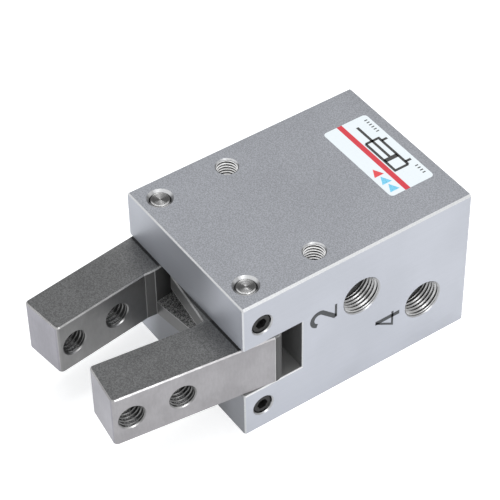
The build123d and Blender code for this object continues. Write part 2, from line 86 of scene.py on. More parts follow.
@dataclass(frozen=True)
class Signal:
    """A number, vector or colour in a node tree, where arithmetic adds the nodes that work it out."""

    bench: "Bench"
    socket: Socket

    def __add__(self, other: Self | float) -> Self:
        """The sum."""
        return self.bench.math("ADD", self, other)

    def __sub__(self, other: Self | float) -> Self:
        """The difference."""
        return self.bench.math("SUBTRACT", self, other)

    def __mul__(self, other: Self | float) -> Self:
        """The product, which for masks is where both hold."""
        return self.bench.math("MULTIPLY", self, other)

    def __truediv__(self, other: Self | float) -> Self:
        """The quotient."""
        return self.bench.math("DIVIDE", self, other)

    def __or__(self, other: Self | float) -> Self:
        """The larger, which for masks is where either holds."""
        return self.bench.math("MAXIMUM", self, other)

    def __and__(self, other: Self | float) -> Self:
        """The smaller."""
        return self.bench.math("MINIMUM", self, other)

    def __invert__(self) -> Self:
        """The rest of a mask."""
        return self.bench.math("SUBTRACT", 1.0, self)

    def __abs__(self) -> Self:
        """The size without its sign."""
        return self.bench.math("ABSOLUTE", self)

    def ramp(self, low: float, high: float, to_low: float = 0.0, to_high: float = 1.0) -> Self:
        """Carries the number from one range to another with soft ends.

        Args:
            low: the start of its range.
            high: the end of its range.
            to_low: what the start becomes.
            to_high: what the end becomes.

        Returns:
            The carried number.
        """
        values = {"Value": self, "From Min": low, "From Max": high, "To Min": to_low, "To Max": to_high}
        return self.bench.put("ShaderNodeMapRange", values, interpolation_type="SMOOTHSTEP")["Result"]

    def ramp_mm(self, low: float, high: float, to_low: float = 0.0, to_high: float = 1.0) -> Self:
        """The same for a length, whose range is in millimetres."""
        return self.ramp(low * MM, high * MM, to_low, to_high)

    def past(self, place: float, soft: float = SOFT_EDGE) -> Self:
        """A mask that rises from 0 to 1 where a length passes a place, both in millimetres."""
        return self.ramp_mm(place, place + soft)

    def short_of(self, place: float, soft: float = SOFT_EDGE) -> Self:
        """A mask that falls from 1 to 0 where a length nears a place, both in millimetres."""
        return self.ramp_mm(place, place - soft)

    def between(self, low: float, high: float) -> Self:
        """Carries a share of 0 to 1 to another range."""
        return self.ramp(0.0, 1.0, low, high)

    def line(self, place: float, half: float, core: float = 0.4) -> Self:
        """A mask of a thin line where a length passes a place in millimetres, full in its core."""
        return abs(self - place * MM).ramp_mm(half, half * core)

    def split(self) -> tuple[Self, Self, Self]:
        """A vector's parts along X, Y and Z."""
        parts = self.bench.put("ShaderNodeSeparateXYZ", {0: self})
        return parts["X"], parts["Y"], parts["Z"]

    def turned(self, angle: Self | float, centre: Point3 = (0.0, 0.0, 0.0)) -> Self:
        """A vector turned about an upright axis."""
        values = {"Vector": self, "Center": centre, "Angle": angle}
        return self.bench.put("ShaderNodeVectorRotate", values, rotation_type="Z_AXIS")[0]

    def blend(self, first: Self | Colour, second: Self | Colour) -> Self:
        """Mixes two colours, the first where this mask is 0 and the second where it is 1."""
        return self.bench.mix("MIX", self, first, second)

    def shade(self, colour: Self | Colour) -> Self:
        """A colour multiplied by this tone."""
        tone = self.bench.put("ShaderNodeCombineColor", {0: self, 1: self, 2: self})[0]
        return self.bench.mix("MULTIPLY", 1.0, colour, tone)

    def bump(self, depth: float, strength: Self | float) -> Self:
        """The normal of a surface with this height of about 0 to 1, its depth in metres."""
        return self.bench.put("ShaderNodeBump", {"Height": self, "Distance": depth, "Strength": strength})[0]


@dataclass(frozen=True)
class Placed:
    """A node in a tree, whose outputs are read by name or number."""

    bench: "Bench"
    node: bpy.types.Node

    def __getitem__(self, output: str | int) -> Signal:
        """One output."""
        return Signal(self.bench, self.node.outputs[output])


@dataclass(frozen=True)
class Bench:
    """A node tree being wired, with short calls for the nodes it needs."""

    tree: NodeTree

    def put(self, kind: str, values: dict | None = None, **settings: object) -> Placed:
        """Adds a node.

        Args:
            kind: the node's type name.
            values: input name or number to a signal to link or a plain value to set.
            settings: the node's own properties.

        Returns:
            The new node.
        """
        node = self.tree.nodes.new(kind)
        for name, value in settings.items():
            setattr(node, name, value)
        for key, value in (values or {}).items():
            socket = node.inputs[key]
            if isinstance(value, Signal):
                self.tree.links.new(value.socket, socket)
            else:
                socket.default_value = (*value, 1.0) if socket.type == "RGBA" else value
        return Placed(self, node)

    def math(self, operation: str, *values: Signal | float, clamp: bool = False) -> Signal:
        """Adds a Math node and returns its result."""
        return self.put("ShaderNodeMath", dict(enumerate(values)), operation=operation, use_clamp=clamp)[0]

    def vector(self, operation: str, *values: Signal | Point3) -> Placed:
        """Adds a Vector Math node."""
        return self.put("ShaderNodeVectorMath", dict(enumerate(values)), operation=operation)

    def mix(self, how: str, share: Signal | float, first: Signal | Colour, second: Signal | Colour) -> Signal:
        """Mixes two colours.

        Args:
            how: the blend type.
            share: how much of it shows.
            first: the lower colour.
            second: the upper colour.

        Returns:
            The mixed colour.
        """
        values = {0: share, 6: first, 7: second}
        return self.put("ShaderNodeMix", values, data_type="RGBA", blend_type=how)[2]

    def noise(self, place: Signal, scale: Signal | float, detail: float, roughness: float = 0.5) -> Signal:
        """Adds cloudy noise and returns its height."""
        values = {"Vector": place, "Scale": scale, "Detail": detail, "Roughness": roughness}
        return self.put("ShaderNodeTexNoise", values)["Fac"]

    def distance(self, first: Signal, second: Signal) -> Signal:
        """The distance that two lengths at right angles make."""
        return self.math("SQRT", first * first + second * second)

    def seen(self) -> Signal:
        """A mask that is 1 for what the camera sees, straight, mirrored or through glass."""
        rays = self.put("ShaderNodeLightPath")
        return rays["Is Camera Ray"] | rays["Is Glossy Ray"] | rays["Is Transmission Ray"]


class SocketKind(Enum):
    """The socket types that the node groups use."""

    NUMBER = "NodeSocketFloat"
    VECTOR = "NodeSocketVector"
    WHOLE = "NodeSocketInt"
    GEOMETRY = "NodeSocketGeometry"
    MATERIAL = "NodeSocketMaterial"


def new_group(
    name: str, tree_kind: str, takes: dict[str, SocketKind], gives: dict[str, SocketKind]
) -> tuple[Bench, Placed]:
    """Starts a node group with named inputs and outputs.

    Args:
        name: the group's name.
        tree_kind: ShaderNodeTree or GeometryNodeTree.
        takes: input names and their kinds.
        gives: output names and their kinds.

    Returns:
        The bench to wire it on, and the node that gives its inputs.
    """
    tree = bpy.data.node_groups.new(name, tree_kind)
    for way, sockets in (("INPUT", takes), ("OUTPUT", gives)):
        for label, kind in sockets.items():
            tree.interface.new_socket(name=label, in_out=way, socket_type=kind.value)
    bench = Bench(tree)
    return bench, bench.put("NodeGroupInput")


class SharedEffects:
    """Shader node groups that several finishes use, each built once."""

    def __init__(self) -> None:
        """Builds every group."""
        self.sand_grain = self._sand_grain()
        self.facing = self._facing()
        self.grinding = self._grinding()
        self.turning = self._turning()
        self.stains = self._stains()

    @staticmethod
    def _sand_grain() -> NodeTree:
        """Blasted or sand cast grain: fine specks for the colour and a height for the bump.

        Returns:
            The group.
        """
        takes = {"Position": SocketKind.VECTOR, "Grains Per Metre": SocketKind.NUMBER}
        gives = {"Speck": SocketKind.NUMBER, "Height": SocketKind.NUMBER}
        bench, take = new_group("sand_grain", "ShaderNodeTree", takes, gives)
        place, scale = take["Position"], take["Grains Per Metre"]
        fine = bench.noise(place, scale, detail=3.0, roughness=0.65)
        coarse = bench.noise(place, scale * 0.6, detail=1.0)
        speck = (coarse * 0.45 + fine * 0.55).ramp(0.36, 0.64)
        bench.put("NodeGroupOutput", {"Speck": speck, "Height": fine})
        return bench.tree

    @staticmethod
    def _facing() -> NodeTree:
        """Which way a surface faces once the part's own turn is taken off, and where it is a bevel.

        Returns:
            The group.
        """
        ways = ("Across", "Along", "Up")
        takes = {"Normal": SocketKind.VECTOR, "Turn": SocketKind.NUMBER}
        gives = {name: SocketKind.NUMBER for name in (*ways, "Bevel")}
        bench, take = new_group("facing", "ShaderNodeTree", takes, gives)
        parts = [abs(part) for part in take["Normal"].turned(take["Turn"]).split()]
        masks = {name: part.ramp(0.8, 0.95) for name, part in zip(ways, parts)}
        masks["Bevel"] = (parts[0] | parts[1] | parts[2]).ramp(0.97, 0.9)
        bench.put("NodeGroupOutput", masks)
        return bench.tree

    @staticmethod
    def _grinding() -> NodeTree:
        """Fine straight marks of a grinding wheel or a mill, fewest along the way of the marks.

        Returns:
            The group.
        """
        takes = {name: SocketKind.VECTOR for name in ("Position", "Marks Per Metre")}
        takes["Turn"] = SocketKind.NUMBER
        gives = {"Mark": SocketKind.NUMBER, "Height": SocketKind.NUMBER}
        bench, take = new_group("grinding", "ShaderNodeTree", takes, gives)
        stretched = bench.vector("MULTIPLY", take["Position"].turned(take["Turn"]), take["Marks Per Metre"])
        noise = bench.noise(stretched[0], 1.0, detail=4.0, roughness=0.6)
        bench.put("NodeGroupOutput", {"Mark": noise.ramp(0.3, 0.7), "Height": noise})
        return bench.tree

    @staticmethod
    def _turning() -> NodeTree:
        """Rings left by a lathe tool round an axis, from the radius off that axis.

        Returns:
            The group.
        """
        takes = {"Radius": SocketKind.NUMBER, "Rings Per Metre": SocketKind.NUMBER}
        gives = {"Height": SocketKind.NUMBER, "Ring": SocketKind.NUMBER}
        bench, take = new_group("turning", "ShaderNodeTree", takes, gives)
        turns = take["Radius"] * take["Rings Per Metre"]
        wave = bench.math("SINE", turns * math.tau)
        values = {"W": turns, "Scale": 0.9, "Detail": 2.0}
        uneven = bench.put("ShaderNodeTexNoise", values, noise_dimensions="1D")["Fac"]
        bench.put("NodeGroupOutput", {"Height": wave * 0.25 + uneven, "Ring": uneven.ramp(0.35, 0.65)})
        return bench.tree

    @staticmethod
    def _stains() -> NodeTree:
        """Wide soft patches of handling and oil.

        Returns:
            The group.
        """
        takes = {"Position": SocketKind.VECTOR, "Patches Per Metre": SocketKind.NUMBER}
        bench, take = new_group("stains", "ShaderNodeTree", takes, {"Patch": SocketKind.NUMBER})
        noise = bench.noise(take["Position"], take["Patches Per Metre"], detail=3.0)
        bench.put("NodeGroupOutput", {"Patch": noise.ramp(0.3, 0.7)})
        return bench.tree


class Skin:
    """A piece's surface: each point's place and normal, which turn with the piece, and effects over them."""

    def __init__(self, bench: Bench, shared: SharedEffects) -> None:
        """Reads the place and the normal.

        Args:
            bench: the material's bench.
            shared: the node groups to lay over the surface.
        """
        read = bench.put("ShaderNodeTexCoord")
        self.bench = bench
        self.shared = shared
        self.place = read["Object"]
        self.normal = read["Normal"]

    def lay(self, tree: NodeTree, values: dict) -> Placed:
        """Lays a shared group over the surface."""
        return self.bench.put("ShaderNodeGroup", values, node_tree=tree)

    def facing(self, turn: float = 0.0) -> Placed:
        """Which way each point faces, once a turn is taken off."""
        return self.lay(self.shared.facing, {"Normal": self.normal, "Turn": turn})

    def grain(self, per_metre: float) -> Placed:
        """Specks and their height."""
        return self.lay(self.shared.sand_grain, {"Position": self.place, "Grains Per Metre": per_metre})

    def marks(self, per_metre: Point3, turn: float = 0.0) -> Placed:
        """Straight tool marks and their height."""
        values = {"Position": self.place, "Marks Per Metre": per_metre, "Turn": turn}
        return self.lay(self.shared.grinding, values)

    def rings(self, radius: Signal, per_metre: float) -> Placed:
        """Round tool marks and their height."""
        return self.lay(self.shared.turning, {"Radius": radius, "Rings Per Metre": per_metre})

    def patches(self, per_metre: float) -> Signal:
        """Wide soft patches."""
        return self.lay(self.shared.stains, {"Position": self.place, "Patches Per Metre": per_metre})["Patch"]


# Finishes


@dataclass(frozen=True)
class Finish:
    """What every finish has: its name, its gloss and how its material is made."""

    name: str
    roughness: float = 0.5
    metallic: float = 0.5

    def material(self, shared: SharedEffects) -> Material:
        """Builds the material.

        Args:
            shared: the node groups it draws on.

        Returns:
            The finished material.
        """
        material = bpy.data.materials.new(self.name)
        material.use_nodes = True
        material.node_tree.nodes.clear()
        bench = Bench(material.node_tree)
        inputs = {"Roughness": self.roughness, "Metallic": self.metallic, **self.paint(Skin(bench, shared))}
        shader = bench.put("ShaderNodeBsdfPrincipled", inputs)
        bench.put("ShaderNodeOutputMaterial", {"Surface": shader[0]})
        return material

    def paint(self, skin: Skin) -> dict[str, Signal | float]:
        """Works out the shader's inputs; each finish has its own way.

        Args:
            skin: the surface to paint.

        Returns:
            The inputs by name, besides plain gloss.
        """
        raise NotImplementedError


class BlockZones:
    """Masks of the housing's zones, each 1 inside its zone and 0 outside."""

    def __init__(self, place: Signal) -> None:
        """Measures where each point is.

        Args:
            place: the point's place.
        """
        self.x, self.y, self.z = place.split()
        self.aside = abs(self.x)
        self.rise = abs(self.z - MID_HEIGHT * MM)
        self.on_front = self.y.short_of(HOUSING_FRONT + EDGE_BREAK, 2 * SOFT_EDGE)

    @property
    def in_slot(self) -> Signal:
        """The milled walls and floors inside the finger slot, where the upright walls get painted shade."""
        low = self.rise.short_of(SLOT_HALF_HEIGHT + SOFT_EDGE)
        ahead = self.y.short_of(SLOT_END + SOFT_EDGE)
        return low * ahead * self.y.past(HOUSING_FRONT, EDGE_BREAK + SOFT_EDGE)

    @property
    def hole_mouths(self) -> Signal:
        """The countersinks of the holes, which lie away from the block's own edges."""
        inset = EDGE_BREAK + SOFT_EDGE
        on_wide = self.rise.past(MID_HEIGHT - MOUTH_BEVEL - SOFT_EDGE)
        off_side = self.aside.short_of(HOUSING_HALF_WIDTH - SIDE_BEVEL - SOFT_EDGE)
        on_ears_or_behind = self.rise.past(SLOT_HALF_HEIGHT + inset) | self.y.past(SLOT_END + inset)
        on_side = ~off_side * ~on_wide * on_ears_or_behind
        return (on_wide * off_side | on_side) * self.y.past(HOUSING_FRONT + inset)

    @property
    def down_holes(self) -> Signal:
        """The walls of the upright holes and of the ports, below their countersinks."""
        under_wide = self.rise.short_of(MID_HEIGHT - MOUTH_BEVEL + SOFT_EDGE / 2)
        off_side = self.aside.short_of(HOUSING_HALF_WIDTH - EDGE_BREAK)
        off_ends = self.y.past(HOUSING_FRONT + EDGE_BREAK) * self.y.short_of(HOUSING_REAR - EDGE_BREAK)
        return under_wide * off_side * off_ends

    @property
    def by_ports(self) -> Signal:
        """The ports' height, which leaves out the mouths of the upright holes."""
        return self.rise.short_of(PORT_RISE + EDGE_BREAK, EDGE_BREAK)

    @property
    def shade_under_fingers(self) -> Signal:
        """The middle of the lower ear's front under the fingers, where painted shade goes."""
        return self.on_front * self.z.ramp_mm(14.0, 12.0) * self.aside.ramp_mm(19.0, 11.0)

    @property
    def outside(self) -> Signal:
        """The band within a bevel's width of the block's outer faces."""
        half_length = (HOUSING_REAR - HOUSING_FRONT) / 2
        lengthwise = abs(self.y - (HOUSING_FRONT + half_length) * MM)
        offs = ((self.aside, HOUSING_HALF_WIDTH), (lengthwise, half_length), (self.rise, MID_HEIGHT))
        near = [off.past(half - SIDE_BEVEL - 2.5 * SOFT_EDGE, 1.5 * SOFT_EDGE) for off, half in offs]
        return near[0] | near[1] | near[2]

    @property
    def front_painted_light(self) -> Signal:
        """Painted shade and painted light on the front face: darker from its left side to its middle, lighter
        to the port side.

        Returns:
            A tone, 1 away from the front face.
        """
        falling = self.x.ramp_mm(-20.0, 3.0, 1.12, 0.78)
        upper = self.x.ramp_mm(5.0, 21.0, 1.0, 1.85)
        lower = self.x.ramp_mm(8.0, 16.0, 1.0, 0.73)
        rising = self.z.past(MID_HEIGHT) * (upper - lower) + lower
        return self.on_front * (falling * rising - 1.0) + 1.0


@dataclass(frozen=True)
class AnodisedBlock(Finish):
    """Clear anodised aluminium: blasted wide faces, smooth milled sides and bright cut edges, with painted
    light and shade.
    """

    wide: Colour = (0.272, 0.281, 0.303)
    sides: Colour = (0.423, 0.438, 0.48)
    # bevels: bright cut metal with a painted highlight, less of it on the upright bevels; countersinks:
    # painted shade
    edges: Colour = grey(0.68, -0.01)
    upright_edges: Colour = grey(0.53, -0.02)
    mouths: Colour = grey(0.16)
    # painted shade on the slot's upright walls
    slot_wall_shade: Colour = grey(0.185)
    slot_floors: Colour = grey(0.4)
    # painted shade inside the holes and the ports
    hole_wall_shade: Colour = grey(0.02)
    port_wall_shade: Colour = grey(0.09)
    port_floor_shade: Colour = grey(0.3)
    # painted shade on the lower ear's front under the fingers
    painted_finger_shade: Colour = grey(0.08, -0.04)
    grains: float = 5200.0
    patches: float = 45.0
    mill_marks: Point3 = (90.0, 60.0, 1400.0)
    finger_shade_share: float = 0.6
    edge_gloss: float = 0.12
    depth: float = 0.00003

    def paint(self, skin: Skin) -> dict[str, Signal | float]:
        """Paints the block's faces by the way they look.

        Args:
            skin: the surface to paint.

        Returns:
            The shader's inputs.
        """
        facing = skin.facing()
        up = facing["Up"]
        grain = skin.grain(self.grains)
        zones = BlockZones(skin.place)

        wide = grain["Speck"].between(0.82, 1.2).shade(self.wide)
        sides = skin.marks(self.mill_marks)["Mark"].between(0.992, 1.008).shade(self.sides)
        faces = skin.patches(self.patches).between(0.965, 1.025).shade(up.blend(sides, wide))
        # Painted shade inside the upright holes and the ports: near black walls, and greys on the ports'
        # walls and floors.
        walls = zones.by_ports.blend(self.hole_wall_shade, self.port_wall_shade)
        walls = facing["Across"].blend(walls, self.port_floor_shade)
        faces = zones.down_holes.blend(faces, walls)
        # Painted shade darkens the slot's upright walls.
        faces = zones.in_slot.blend(faces, up.blend(self.slot_wall_shade, self.slot_floors))
        # Painted shade on the lower ear's front under the fingers.
        faces = (zones.shade_under_fingers * self.finger_shade_share).blend(faces, self.painted_finger_shade)
        # Painted shade and painted light across the front face.
        faces = zones.front_painted_light.shade(faces)

        worn = grain["Speck"].ramp(0.1, 0.9, 0.7, 1.0)
        edge = facing["Bevel"] * zones.outside * worn
        # Painted highlight on the countersinks where they face the camera's side, painted shade on the rest
        # of them; bevels that face up get more painted highlight than upright ones.
        across, _, upward = (abs(part) for part in skin.normal.split())
        towards_viewer = skin.bench.vector("DOT_PRODUCT", skin.normal, VIEWER_LEVEL)["Value"]
        lit = towards_viewer.ramp(0.15, 0.5) * across.ramp(0.6, 0.75, 1.0, 0.3)
        outer = upward.ramp(0.3, 0.6).blend(self.upright_edges, self.edges)
        rims = zones.hole_mouths.blend(outer, lit.blend(self.mouths, self.edges))
        return {
            "Base Color": edge.blend(faces, rims),
            "Metallic": facing["Along"].between(self.metallic, self.metallic - 0.4),
            "Roughness": edge * -self.edge_gloss + up.between(self.roughness - 0.03, self.roughness + 0.05),
            "Normal": grain["Height"].bump(self.depth, up.between(0.03, 0.6)),
        }


class LeverZones:
    """Masks of a lever's zones, measured from its shaft towards the other lever and to its tip."""

    root_half = 6.3  # the shaft's plane to the root's inner face
    ramp_start = 7.65  # from the shaft towards the tip
    ramp_end = 10.2
    back_round = -3.9  # where the rounded back corner starts
    bore_radius = 3.0

    def __init__(self, place: Signal, side: int) -> None:
        """Measures where each point is on a lever.

        Args:
            place: the point's place.
            side: +1 for the right lever, -1 for the left.
        """
        shaft = (side * PIVOT_X * MM, PIVOT_Y * MM, MID_HEIGHT * MM)
        upright = place.turned(side * CLOSED_ANGLE, shaft)
        across, along, self.height = place.bench.vector("SUBTRACT", upright, shaft)[0].split()
        self.inward = across * -float(side)
        self.tipward = along * -1.0
        self.underside = side * TONGUE_UNDERSIDE
        self.inside = self.inward.past(FINGER_HALF_WIDTH - EDGE_BREAK - SOFT_EDGE)
        self.past_root = self.inward.past(self.root_half)

    def recess(self, tongue_painted_light: float) -> Signal:
        """Painted shade on the root, the ramp and the rounded back corner, less of it on the tongue.

        Args:
            tongue_painted_light: how much brighter the tongue is, from 0 to 1.

        Returns:
            The mask.
        """
        root = self.inside * self.tipward.short_of(self.ramp_end)
        on_slope = self.tipward.ramp_mm(self.ramp_start + SOFT_EDGE, self.ramp_start, 0.7, 1.0)
        painted_tongue_light = self.past_root * -tongue_painted_light + 1.0
        return root * on_slope * painted_tongue_light | self.tipward.short_of(self.back_round)

    @property
    def lines(self) -> Signal:
        """Painted highlights: thin bright lines along the edges of the ramp, the tongue and the rounded back
        corner.
        """
        ramp_ends = self.tipward.line(self.ramp_start, 0.15) | self.tipward.line(self.ramp_end, 0.15)
        on_ramp = self.inside * ramp_ends * ~self.past_root
        front = self.tipward.past(self.ramp_start - 2 * SOFT_EDGE)
        on_tongue = self.past_root * self.height.line(self.underside, 0.3) * front
        return on_ramp | on_tongue | self.tipward.line(self.back_round, 0.12)

    @property
    def off_bores(self) -> Signal:
        """The distance to the nearer jaw thread's axis, on the lever's sides."""
        bench = self.height.bench
        offs = [bench.distance(self.height, self.tipward - reach * MM) for reach in JAW_THREAD_REACHES]
        return offs[0] & offs[1]


@dataclass(frozen=True)
class FingerSteel(Finish):
    """Steel lever: dark grainy wide faces, ground sides and tip, and worn bright edges, with painted light
    and shade.
    """

    side: int = 1
    # painted light that takes part of the painted shade off the tongue
    tongue_painted_light: float = 0.6
    wide: Colour = grey(0.106, -0.012)
    # painted shadow line under the housing's front edge
    painted_ear_shadow: Colour = grey(0.01)
    ground: Colour = (0.281, 0.274, 0.283)
    tip: Colour = (0.13, 0.13, 0.19)
    inner: Colour = grey(0.2)
    # painted shade on the root, the ramp, the back corner and the bores
    recess: Colour = grey(0.045)
    milled: Colour = grey(0.31)
    mouths: Colour = grey(0.2)
    edges: Colour = grey(0.46)
    grains: float = 5200.0
    patches: float = 130.0
    wheel_marks: Point3 = (1500.0, 1500.0, 500.0)
    tip_share: float = 0.35
    line_share: float = 0.75
    edge_gloss: float = 0.1
    depth: float = 0.00005

    def paint(self, skin: Skin) -> dict[str, Signal | float]:
        """Paints the lever's faces in its own leaning frame.

        Args:
            skin: the surface to paint.

        Returns:
            The shader's inputs.
        """
        lean = self.side * CLOSED_ANGLE
        facing = skin.facing(lean)
        up = facing["Up"]
        grain = skin.grain(self.grains)
        speck = grain["Speck"]
        patch = skin.patches(self.patches)
        zones = LeverZones(skin.place, self.side)
        rise = abs(zones.height)
        bore = zones.off_bores.short_of(zones.bore_radius + 0.06, 0.03)
        mouth = zones.off_bores.short_of(zones.bore_radius + 0.34, 0.04)
        recess = zones.recess(self.tongue_painted_light) | bore

        tone = (facing["Along"] * self.tip_share).blend(self.ground, self.tip)
        # Painted shade on the inner faces between the levers.
        tone = zones.inside.blend(tone, self.inner)
        # Countersinks: dark grey, with a painted glint where they face up.
        upward = skin.normal.split()[2]
        tone = mouth.blend(tone, upward.ramp(0.5, 0.7).blend(self.mouths, self.edges))
        # Painted shade on the root, the ramp, the back corner and the bores.
        tone = recess.blend(tone, self.recess)
        # Painted highlight lines on the edges of the ramp, the tongue and the back corner.
        tone = (zones.lines * self.line_share).blend(tone, self.edges)
        ground = skin.marks(self.wheel_marks, lean)["Mark"].between(0.97, 1.03).shade(tone)

        wide = speck.between(0.76, 1.3).shade(self.wide)
        # Painted light: the wide face is brightened towards the lever shaft, where the housing shades it.
        wide = zones.tipward.ramp_mm(18.0, 4.0, 1.0, 1.45).shade(wide)
        # Painted shadow: a dark line across the wide face where it passes under the housing's front edge when
        # closed.
        under_ear = skin.place.split()[1].line(HOUSING_FRONT - 0.25, 0.4)
        wide = (under_ear * self.line_share).blend(wide, self.painted_ear_shadow)
        # The tongues' inner faces are milled, and they are also made lighter as painted light where the
        # housing's ear shades them.
        milled = speck.ramp(0.15, 0.85, 0.35, 1.8).shade(self.milled)
        wide = rise.short_of(6.5).blend(wide, milled)
        faces = patch.between(0.92, 1.05).shade(up.blend(ground, wide))

        # Worn edges, brightened by painted highlights.
        worn = patch.ramp(0.1, 0.9, 0.35, 1.0) * speck.between(0.5, 1.0)
        edge = facing["Bevel"] * rise.past(6.7) * worn
        gloss = up.between(self.roughness - 0.06, self.roughness + 0.04)
        return {
            "Base Color": edge.blend(faces, self.edges),
            "Metallic": recess.between(self.metallic, 0.1),
            "Roughness": edge * -self.edge_gloss + recess * 0.25 + gloss,
            "Normal": grain["Height"].bump(self.depth, up.between(0.06, 0.8)),
        }


class TurnedAbout(Enum):
    """The axis that a turned piece was made about."""

    BORE = "bore"
    LEVER_SHAFTS = "lever shafts"
    CENTRE_PIN = "centre pin"


@dataclass(frozen=True)
class TurnedMetal(Finish):
    """Turned or ground metal with fine rings about its own axis, and painted glints where its rim has a
    radius.
    """

    colour: Colour = grey(0.5)
    about: TurnedAbout = TurnedAbout.BORE
    rings: float = 5200.0
    depth: float = 0.00002
    rim: float = 0.0
    patches: float = 220.0

    def paint(self, skin: Skin) -> dict[str, Signal | float]:
        """Paints the rings, faint in colour and clearer in the bump.

        Args:
            skin: the surface to paint.

        Returns:
            The shader's inputs.
        """
        across, along = self.off_axis(skin.place)
        radius = skin.bench.distance(across, along)
        turning = skin.rings(radius, self.rings)
        tone = skin.patches(self.patches).between(0.95, 1.04)
        # Painted highlights and painted shade of a faced end.
        if self.rim:
            tone = tone * self.glints(across, along, radius)
        dark = tuple(part * 0.86 for part in self.colour)
        return {
            "Base Color": tone.shade(turning["Ring"].blend(dark, self.colour)),
            "Roughness": turning["Ring"].between(self.roughness + 0.05, self.roughness - 0.04),
            "Normal": turning["Height"].bump(self.depth, 0.7),
        }

    def glints(self, across: Signal, along: Signal, radius: Signal) -> Signal:
        """Painted highlights and painted shade: two bright sectors of a faced end, darker sectors between
        them, and a glint on its bevelled rim.

        Args:
            across: the distance off the axis across the part.
            along: the distance off the axis along the part.
            radius: the distance off the axis.

        Returns:
            A tone to multiply the colour with.
        """
        towards_viewer = across * VIEWER_LEVEL[0] + along * VIEWER_LEVEL[1]
        share = towards_viewer / (radius | 0.05 * MM)
        on_rim = radius.past(self.rim, 0.08)
        return on_rim * share.ramp(0.1, 0.6) * 2.2 + abs(share).ramp(0.4, 0.95, 0.5, 1.4)

    def off_axis(self, place: Signal) -> tuple[Signal, Signal]:
        """Measures how far each point is off the turning axis.

        Args:
            place: the point's place.

        Returns:
            The two distances across the axis.
        """
        x, y, z = place.split()
        if self.about is TurnedAbout.BORE:
            return x, z - MID_HEIGHT * MM
        if self.about is TurnedAbout.CENTRE_PIN:
            return x, y - PIN_Y * MM
        return x - place.bench.math("SIGN", x) * (PIVOT_X * MM), y - PIVOT_Y * MM


@dataclass(frozen=True)
class DarkCoat(Finish):
    """Black oxide, rubber, bonded magnet or moulded plastic: one colour with a fine uneven skin."""

    colour: Colour = grey(0.03)
    second: Colour = grey(0.06)
    grains: float = 3500.0
    patches: float = 400.0
    depth: float = 0.00002

    def paint(self, skin: Skin) -> dict[str, Signal | float]:
        """Paints the skin and its two tones.

        Args:
            skin: the surface to paint.

        Returns:
            The shader's inputs.
        """
        grain = skin.grain(self.grains)
        return {
            "Base Color": (grain["Speck"] * skin.patches(self.patches)).blend(self.colour, self.second),
            "Roughness": grain["Speck"].between(self.roughness - 0.05, self.roughness + 0.08),
            "Normal": grain["Height"].bump(self.depth, 0.5),
        }


@dataclass(frozen=True)
class CutThread(Finish):
    """Freshly cut thread: bright torn metal, a little darker in patches."""

    colour: Colour = grey(0.62)
    cutter_marks: Point3 = (900.0, 900.0, 900.0)
    depth: float = 0.00001

    def paint(self, skin: Skin) -> dict[str, Signal | float]:
        """Paints the cutting marks along the flanks.

        Args:
            skin: the surface to paint.

        Returns:
            The shader's inputs.
        """
        marks = skin.marks(self.cutter_marks)
        dark = tuple(part * 0.88 for part in self.colour)
        return {
            "Base Color": marks["Mark"].blend(dark, self.colour),
            "Roughness": marks["Mark"].between(self.roughness + 0.05, self.roughness - 0.03),
            "Normal": marks["Height"].bump(self.depth, 0.4),
        }


@dataclass(frozen=True)
class PrintedFilm(Finish):
    """White label film with one coloured band printed across it."""

    paper: Colour = (0.87, 0.93, 0.96)
    band: Colour = (0.68, 0.03, 0.05)
    band_from: float = 27.87
    band_to: float = 29.33
    ink_edge: float = 0.06
    grains: float = 2500.0
    depth: float = 0.00001

    def paint(self, skin: Skin) -> dict[str, Signal | float]:
        """Paints the band by its place along the housing.

        Args:
            skin: the surface to paint.

        Returns:
            The shader's inputs.
        """
        along = skin.place.split()[1]
        band = along.past(self.band_from, self.ink_edge) * along.short_of(self.band_to, self.ink_edge)
        grain = skin.grain(self.grains)
        printed = band.blend(self.paper, self.band)
        return {
            "Base Color": grain["Speck"].between(0.985, 1.0).shade(printed),
            "Normal": grain["Height"].bump(self.depth, 0.3),
        }


@dataclass(frozen=True)
class Ink(Finish):
    """Printed or etched mark, slightly uneven."""

    colour: Colour = grey(0.05)
    grains: float = 4000.0
    depth: float = 0.00001

    def paint(self, skin: Skin) -> dict[str, Signal | float]:
        """Paints a small unevenness into the mark.

        Args:
            skin: the surface to paint.

        Returns:
            The shader's inputs.
        """
        grain = skin.grain(self.grains)
        light = tuple(min(1.0, part * 1.35 + 0.01) for part in self.colour)
        return {
            "Base Color": grain["Speck"].blend(self.colour, light),
            "Normal": grain["Height"].bump(self.depth, 0.3),
        }


@dataclass(frozen=True)
class StudioPaper(Finish):
    """White floor sheet: shaded by the object, and white where the camera looks past it."""

    light: Colour = grey(0.96)
    shaded: Colour = grey(0.93)
    lift: Colour = grey(0.55)
    grains: float = 700.0

    def paint(self, skin: Skin) -> dict[str, Signal | float]:
        """Paints the sheet's faint tooth and its lift to white.

        Args:
            skin: the surface to paint.

        Returns:
            The shader's inputs.
        """
        return {
            "Base Color": skin.grain(self.grains)["Speck"].blend(self.shaded, self.light),
            "Emission Strength": 1.0,
            "Emission Color": skin.bench.seen().blend(grey(0.0), self.lift),
        }


# Mesh work


def add_piece(name: str, mesh: Mesh, material: Material | None = None) -> bpy.types.Object:
    """Puts a finished mesh in the scene, at the origin.

    Args:
        name: the piece's name.
        mesh: its mesh, with its place in it.
        material: its finish, or None where the mesh already has one.

    Returns:
        The new object.
    """
    piece = bpy.data.objects.new(name, mesh)
    bpy.context.scene.collection.objects.link(piece)
    if material is not None:
        mesh.materials.clear()
        mesh.materials.append(material)
    return piece


